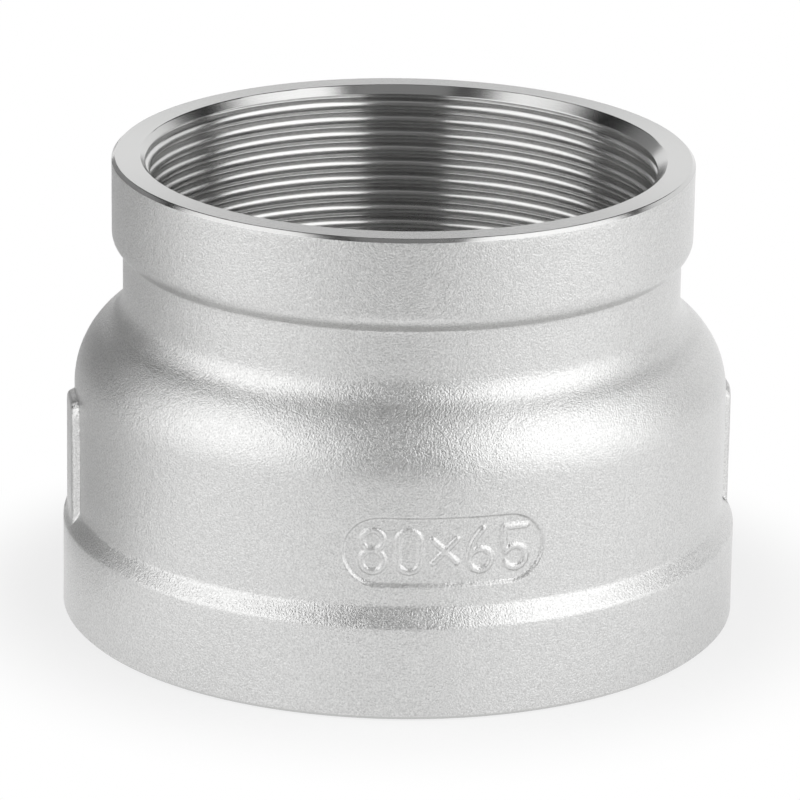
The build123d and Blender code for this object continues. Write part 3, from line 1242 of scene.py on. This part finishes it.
@dataclass
class Studio:
    """Pale floor, white background, a lamp on either side, dark walls, dim ceiling, and the camera.

    Places are given across and along the camera's view, from the fitting, in metres.

    Attributes:
        floor_grey: How much light the floor returns.
        floor_gap: Gap between the floor and the standing face, so that they don't coincide.
        floor_glow: Share of plain white in the floor's look close to the fitting.
        glow_reach: Distances from the axis over which that share rises to 1.
        bore_reach: Distances between which the glow starts, so that none shows inside the bore.
        world_light: Strength of the world as light, where it isn't seen.
        lens: Focal length in millimetres, as the sensor's width is.
        clip_start: Distance from the camera at which it starts to see.
        front: Place of the front wall.
        back: Place of the back wall's middle part.
        back_width: Width of that part.
        back_opening: Height below which the back is open.
        wall_gap: Gap between a lamp and the wall behind it, or the low flag before it.
        low_flag_from: Where the low flags that hide the lamps' lower back parts start.
        shade_sheet_height: Height of the sheets of painted shade on the floor, which only reflections see.
        front_shade_end: Where the front sheet, painted shade before the fitting, ends.
        left_shadow_corner: Place of the near right corner of the left sheet, a painted shadow behind the
            fitting, across and along.
        dark: How much light the dark walls return.
    """

    floor_size: float = 6.0
    floor_grey: float = 0.9
    floor_gap: float = 0.00005
    floor_glow: float = 0.7
    glow_reach: tuple[float, float] = (0.048, 0.075)
    bore_reach: tuple[float, float] = (0.04, 0.048)
    world_light: float = 0.5
    camera_reach: float = 0.780
    camera_height: float = 0.2928
    camera_pitch: float = 18.59
    camera_roll: float = 0.885
    camera_turn: float = -8.0
    lens: float = 255.06
    sensor_width: float = 36.0
    clip_start: float = 0.05
    front: float = -1.5
    back: float = 0.7
    back_width: float = 0.6
    back_opening: float = 0.4
    room_height: float = 2.2
    wall_gap: float = 0.01
    low_flag_from: float = 0.08
    shade_sheet_height: float = 0.001
    front_shade_end: float = -0.17
    left_shadow_corner: tuple[float, float] = (-0.065, -0.02)
    dark: float = 0.02
    front_grey: float = 0.18
    card_grey: float = 0.5
    # Greys of the sheets on the floor: painted shade before the fitting and a painted shadow behind it on
    # the left
    front_shade_grey: float = 0.75
    left_shadow_grey: float = 0.95
    ceiling_glow: float = 0.3
    left: SidePanel = SidePanel("panel_left", -0.5, -1.4, 0.2, 1.2, 1.45)
    right: SidePanel = SidePanel("panel_right", 0.5, -1.4, 0.2, 1.6, 1.62)

    def build(self) -> None:
        """Makes everything round the fitting."""
        self.add_world()
        self.add_floor()
        self.add_panel(self.left)
        self.add_panel(self.right)
        self.add_flags()
        self.add_camera()

    def place(self, across: float, along: float, height: float) -> Vector:
        """A point to the right of the fitting, away from the camera and above the floor."""
        turn = Matrix.Rotation(math.radians(self.camera_turn), 3, "Z")
        return turn @ Vector((across, along, height))

    def seen_share(self, nodes: Nodes) -> bpy.types.NodeSocket:
        """1 for a ray from the camera, a reflection or a refraction, and 0 for any other."""
        rays = nodes.add("LightPath").outputs
        mirror = nodes.math("MAXIMUM", rays["Is Glossy Ray"], rays["Is Transmission Ray"])
        return nodes.math("MAXIMUM", rays["Is Camera Ray"], mirror)

    def add_world(self) -> None:
        """A white world for what is seen or mirrored, and a plain dim one as light."""
        world = bpy.data.worlds.new("studio")
        bpy.context.scene.world = world
        nodes = Nodes(world)
        light = nodes.add("Background", Color=(1, 1, 1, 1), Strength=self.world_light)
        white = nodes.add("Background", Color=(1, 1, 1, 1), Strength=1.0)
        share = self.seen_share(nodes)
        both = nodes.add("MixShader", i0=share, i1=light.outputs[0], i2=white.outputs[0])
        nodes.add("OutputWorld", Surface=both.outputs[0])

    def add_sheet(self, name: str, corners: list[Vector], material: bpy.types.Material) -> bpy.types.Object:
        """Adds a flat four-cornered sheet that belongs to the studio."""
        mesh = bpy.data.meshes.new(name)
        mesh.from_pydata(corners, [], [(0, 1, 2, 3)])
        mesh.materials.append(material)
        sheet = bpy.data.objects.new(name, mesh)
        bpy.context.scene.collection.objects.link(sheet)
        return sheet

    def add_floor(self) -> None:
        """A white floor that takes the fitting's shadow.

        To the camera and in reflections it glows by floor_glow at the fitting and by 1 further
        out, mixed with the light that falls on it, so that it is white outside the shadow. It
        does not glow inside the bore.
        """
        material = bpy.data.materials.new("pale_floor")
        nodes = Nodes(material)
        place = nodes.add("TexCoord").outputs["Object"]
        reach = nodes.add("VectorMath", {"operation": "LENGTH"}, i0=place).outputs["Value"]
        glow = nodes.ramp(reach, self.glow_reach, (self.floor_glow, 1.0), smooth=True)
        outside = nodes.ramp(reach, self.bore_reach, (0.0, 1.0))
        seen = nodes.math("MULTIPLY", outside, self.seen_share(nodes))
        share = nodes.math("MULTIPLY", glow, seen)
        lit = nodes.add("BsdfDiffuse", Color=(self.floor_grey, self.floor_grey, self.floor_grey, 1))
        white = nodes.add("Emission", Color=(1, 1, 1, 1), Strength=1.0)
        both = nodes.add("MixShader", i0=share, i1=lit.outputs[0], i2=white.outputs[0])
        nodes.add("OutputMaterial", Surface=both.outputs[0])
        half = self.floor_size / 2
        turns = ((-1, -1), (1, -1), (1, 1), (-1, 1))
        corners = [Vector((x * half, y * half, -self.floor_gap)) for x, y in turns]
        self.add_sheet("floor", corners, material)

    def add_panel(self, panel: SidePanel) -> None:
        """Adds a side panel that faces across the fitting.

        An area lamp of power P and area A shows P / (pi * A) in a mirror.
        """
        lamp = bpy.data.lights.new(panel.name, "AREA")
        lamp.shape = "RECTANGLE"
        lamp.size, lamp.size_y = panel.far - panel.near, panel.top
        lamp.energy = panel.brightness * math.pi * lamp.size * lamp.size_y
        middle = self.place(panel.across, (panel.near + panel.far) / 2, panel.top / 2)
        outwards = self.place(panel.across, 0, 0)
        holder = bpy.data.objects.new(panel.name, lamp)
        facing = outwards.to_track_quat("Z", "Y").to_matrix().to_4x4()
        holder.matrix_world = Matrix.Translation(middle) @ facing
        holder.visible_camera = False
        bpy.context.scene.collection.objects.link(holder)

    def add_wall(
        self, name: str, points: list[tuple[float, float]], low: float, high: float, grey: float
    ) -> None:
        """Adds upright flags along a run of places, which only reflections and shadows meet.

        Args:
            name: Name of the sheets.
            points: Places across and along the view.
            low: Height of the lower edge.
            high: Height of the upper edge.
            grey: How much light the flags return.
        """
        for start, end in zip(points, points[1:]):
            corners = [self.place(*start, low), self.place(*end, low)]
            corners += [self.place(*end, high), self.place(*start, high)]
            self.add_flag(name, corners, grey)

    def add_flag(self, name: str, corners: list[Vector], grey: float, glows: bool = False) -> None:
        """Adds a plain grey sheet, lit or glowing, that the camera does not see.

        Args:
            name: Its name.
            corners: Its four corners in order.
            grey: How much light it returns, or shows where it glows.
            glows: Whether it shines by itself.
        """
        material = bpy.data.materials.new(name)
        nodes = Nodes(material)
        shader = nodes.add("Emission" if glows else "BsdfDiffuse", Color=(grey, grey, grey, 1))
        nodes.add("OutputMaterial", Surface=shader.outputs[0])
        self.add_sheet(name, corners, material).visible_camera = False

    def add_flags(self) -> None:
        """Adds dark walls round the lamps, open at the back near the floor, a grey card, and two sheets on
        the floor that only reflections see: painted shade before the fitting and a painted shadow behind it
        on the left.

        The ceiling glows dimly, so that level faces are grey and not black from above.
        """
        left, right = self.left.across - self.wall_gap, self.right.across + self.wall_gap
        high, side = self.room_height, self.left.far
        half = self.back_width / 2
        front = [(left, self.front), (right, self.front)]
        back = [(left, side), (-half, self.back), (half, self.back), (right, side)]
        self.add_wall("front_flag", front, 0, high, self.front_grey)
        self.add_wall("left_flag", [front[0], back[0]], 0, high, self.dark)
        self.add_wall("right_flag", [front[1], back[-1]], 0, high, self.dark)
        self.add_wall("back_flag", back, self.back_opening, high, self.dark)
        self.add_wall("back_card", back[:2], 0, self.back_opening, self.card_grey)
        for across in (self.left.across + self.wall_gap, self.right.across - self.wall_gap):
            places = [(across, self.low_flag_from), (across, side)]
            self.add_wall("low_flag", places, 0, self.back_opening, self.dark)
        whole, shade_high = (left, right), self.shade_sheet_height
        self.add_level("ceiling", whole, (self.front, self.back), high, self.ceiling_glow, glows=True)
        # Painted shade: a lit sheet on the floor before the fitting, darker than the glowing floor in
        # reflections
        self.add_level("painted_front_shade", whole, (self.front, self.front_shade_end), shade_high, self.front_shade_grey)
        # Painted shadow: a lit sheet on the floor behind the fitting on the left, where its shadow falls,
        # darker than the glowing floor in reflections
        shadow_right, shadow_near = self.left_shadow_corner
        self.add_level("painted_left_shadow", (left, shadow_right), (shadow_near, self.back), shade_high, self.left_shadow_grey)

    def add_level(
        self,
        name: str,
        across: tuple[float, float],
        along: tuple[float, float],
        height: float,
        grey: float,
        glows: bool = False,
    ) -> None:
        """Adds a level flag between two places across the view and two along it.

        Args:
            name: Name of the sheet.
            across: Its left and right edge.
            along: Its near and far edge.
            height: Its height.
            grey: How much light it returns, or shows where it glows.
            glows: Whether it shines by itself.
        """
        (left, right), (near, far) = across, along
        places = ((left, near), (right, near), (right, far), (left, far))
        self.add_flag(name, [self.place(*spot, height) for spot in places], grey, glows)

    def add_camera(self) -> None:
        """The camera, at the photograph's angle."""
        camera = bpy.data.cameras.new("camera")
        camera.sensor_width = self.sensor_width
        camera.lens = self.lens
        camera.clip_start = self.clip_start
        holder = bpy.data.objects.new("camera", camera)
        holder.matrix_world = (
            Matrix.Translation(self.place(0, -self.camera_reach, self.camera_height))
            @ Matrix.Rotation(math.radians(self.camera_turn), 4, "Z")
            @ Matrix.Rotation(math.radians(90 - self.camera_pitch), 4, "X")
            @ Matrix.Rotation(math.radians(self.camera_roll), 4, "Z")
        )
        bpy.context.scene.collection.objects.link(holder)
        bpy.context.scene.camera = holder


def main() -> None:
    """Loads the frame, dresses the fitting and sets the studio round it."""
    logging.basicConfig(level=logging.INFO, format="%(name)s: %(message)s")
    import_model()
    bpy.context.scene.view_settings.view_transform = "Standard"
    casting = Casting()
    low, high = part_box("reducer_body")
    log.info("solid height %.3f mm, surface height %.3f mm", (high.z - low.z) / MM, casting.total_height)
    finishes = [BlastedCasting().make(), TurnedFace().make(), CutThread().make()]
    body = casting.build().make("reducer_casting", finishes)
    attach(body, "root")
    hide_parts("reducer_body")
    Studio().build()


if __name__ == "__main__":
    main()
